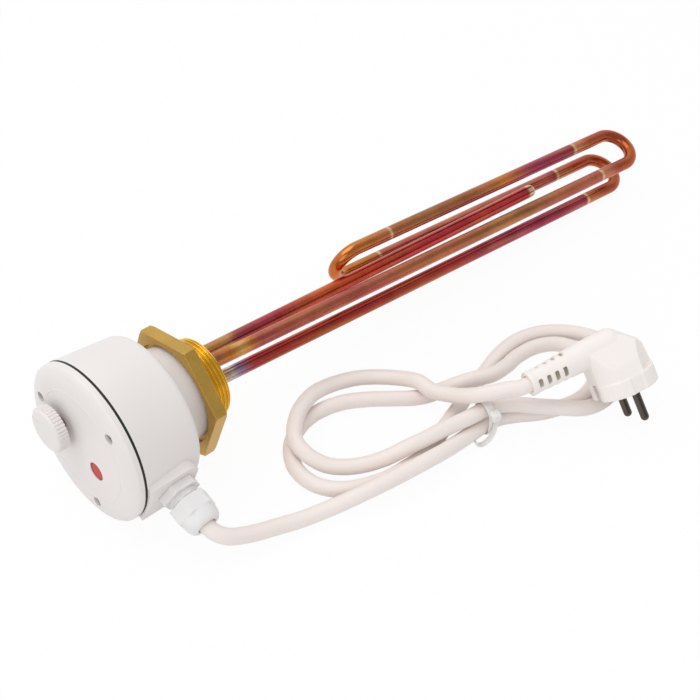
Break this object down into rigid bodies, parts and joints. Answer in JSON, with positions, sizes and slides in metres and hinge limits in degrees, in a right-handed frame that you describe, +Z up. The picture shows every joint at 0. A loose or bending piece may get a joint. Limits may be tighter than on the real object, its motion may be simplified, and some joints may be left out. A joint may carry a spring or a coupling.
{
  "type": "screw plug immersion heater",
  "caption": "Electric immersion heater: folded copper element and pocket tube on a brass screw plug, with a round housing, temperature knob, pilot lens and mains cord.",
  "frame": {"origin": "on the table, under the middle of the heater's own box, without its cord and mains plug", "axes": "+X along the heater towards the far end of its element, +Z up, the cord on the -Y side"},
  "size_m": [0.4557, 0.2194, 0.0912],
  "materials": {
    "plug_brass": "satin",
    "element_copper": "satin, heat tinted",
    "pocket_copper": "satin",
    "inner_steel": "satin",
    "insulator": "matte",
    "housing_white": "satin",
    "gasket_black": "matte",
    "screw_steel": "satin",
    "knob_white": "satin",
    "control_grey": "matte",
    "lens_red": "gloss",
    "holder_white": "matte",
    "gland_white": "satin",
    "seal_grey": "matte",
    "cord_cream": "satin",
    "tie_white": "satin",
    "pin_metal": "polished"
  },
  "bodies": {
    "heater": {"screw_plug": "plug_brass", "heating_element": "element_copper", "pocket_tube": "pocket_copper", "sensing_rod": "inner_steel", "terminal_bushes": "insulator", "terminal_pins": "inner_steel", "housing": "housing_white", "housing_screws": "inner_steel", "cover_gasket": "gasket_black", "front_cover": "housing_white", "cover_screws": "screw_steel", "control_body": "control_grey", "pilot_lens": "lens_red", "lamp_holder": "holder_white", "gland_body": "gland_white", "gland_lock_nut": "gland_white", "gland_seal": "seal_grey", "gland_nut": "gland_white", "mains_cord": "cord_cream", "cable_tie": "tie_white", "plug_body": "cord_cream", "plug_pins": "pin_metal", "plug_earth_contacts": "pin_metal"},
    "dial": {"knob": "knob_white", "control_spindle": "inner_steel"}
  },
  "joints": [
    {"name": "knob_turn", "type": "hinge", "parent": "heater", "child": "dial", "pos_m": [-0.22047, 0.028, 0.05178], "axis": [-0.9989, 0, 0.0467], "range_deg": [0, 270]}
  ]
}
